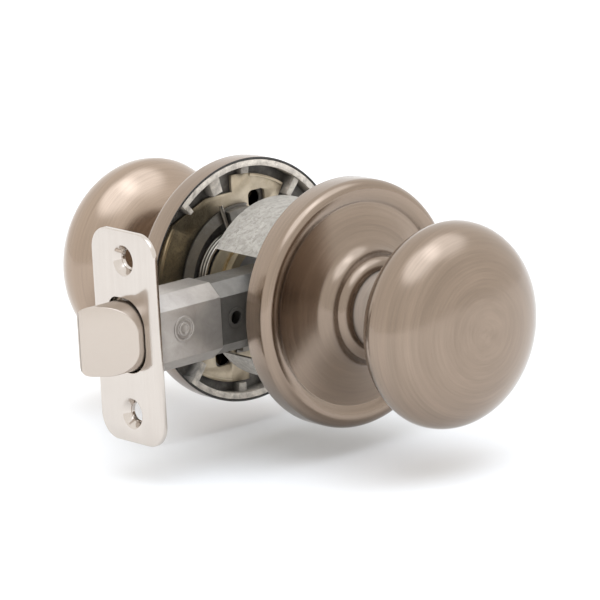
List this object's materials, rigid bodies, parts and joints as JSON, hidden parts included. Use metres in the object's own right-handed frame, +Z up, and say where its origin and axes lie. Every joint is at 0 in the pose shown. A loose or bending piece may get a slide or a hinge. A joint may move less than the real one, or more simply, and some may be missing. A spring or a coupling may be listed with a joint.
{
  "type": "door knob set",
  "caption": "Round two-sided passage door knob set with dished roses, slotted bore sleeve and spring latch with rounded-corner faceplate.",
  "frame": {"origin": "where the knobs' axis crosses the latch's axis, in the middle of the latch case", "axes": "+Z up; knobs turn about Y, the outside knob at -Y; the latch bolt points to -X"},
  "size_m": [0.1054, 0.1517, 0.0668],
  "materials": {
    "satin_nickel": "satin, brushed in circles",
    "cast_zinc": "as cast, fine grain",
    "yellow_zinc": "pale yellow passivated zinc plate",
    "spring_steel": "drawn wire",
    "zinc_steel": "zinc plated",
    "hub_zinc": "olive passivated zinc plate",
    "brass_ring": "satin brass",
    "nylon": "matte",
    "galvanised_steel": "spangled galvanising",
    "bright_nickel": "satin nickel, brushed lengthwise",
    "brass_plate": "dull brass",
    "case_zinc": "zinc plated, light blue grey",
    "bolt_nickel": "satin nickel"
  },
  "bodies": {
    "chassis": {"outside_rose": "satin_nickel", "outside_rose_liner": "cast_zinc", "outside_mounting_plate": "yellow_zinc", "outside_spring_cage": "cast_zinc", "outside_return_spring": "spring_steel", "outside_bearing_washer": "nylon", "inside_rose": "satin_nickel", "inside_rose_liner": "cast_zinc", "inside_mounting_plate": "yellow_zinc", "inside_spring_cage": "cast_zinc", "inside_return_spring": "spring_steel", "inside_bearing_washer": "nylon", "bore_sleeve": "galvanised_steel", "screw_posts": "zinc_steel", "latch_faceplate": "bright_nickel", "latch_backplate": "brass_plate", "latch_front_case": "case_zinc", "latch_rear_case": "case_zinc", "bolt_spring": "spring_steel"},
    "outside_knob_group": {"outside_knob": "satin_nickel", "outside_knob_shank": "zinc_steel", "outside_hub_sleeve": "hub_zinc", "outside_retaining_ring": "brass_ring", "spindle": "zinc_steel"},
    "inside_knob_group": {"inside_knob": "satin_nickel", "inside_knob_shank": "zinc_steel", "inside_hub_sleeve": "hub_zinc", "inside_retaining_ring": "brass_ring"},
    "cam_group": {"latch_cam": "zinc_steel"},
    "bolt_group": {"latch_bolt": "bolt_nickel", "draw_bar": "zinc_steel"}
  },
  "joints": [
    {"name": "outside_knob_turn", "type": "hinge", "parent": "chassis", "child": "outside_knob_group", "pos_m": [0, 0, 0], "axis": [0, 1, 0], "range_deg": [0, 80], "stiffness_Nm_per_rad": 0.12, "springref_deg": -17.19, "deforming": ["outside_return_spring"]},
    {"name": "inside_knob_turn", "type": "hinge", "parent": "chassis", "child": "inside_knob_group", "pos_m": [0, 0, 0], "axis": [0, 1, 0], "range_deg": [0, 80], "deforming": ["inside_return_spring"]},
    {"name": "latch_cam_turn", "type": "hinge", "parent": "chassis", "child": "cam_group", "pos_m": [0, 0, 0], "axis": [0, 1, 0], "range_deg": [0, 80]},
    {"name": "bolt_slide", "type": "slide", "parent": "chassis", "child": "bolt_group", "axis": [1, 0, 0], "range_m": [0, 0.012], "deforming": ["bolt_spring"]}
  ],
  "couplings": [
    {"joint": "inside_knob_turn", "follows": "outside_knob_turn", "ratio": 1},
    {"joint": "latch_cam_turn", "follows": "outside_knob_turn", "ratio": 1},
    {"joint": "bolt_slide", "follows": "outside_knob_turn", "m_per_rad": 0.008594}
  ]
}
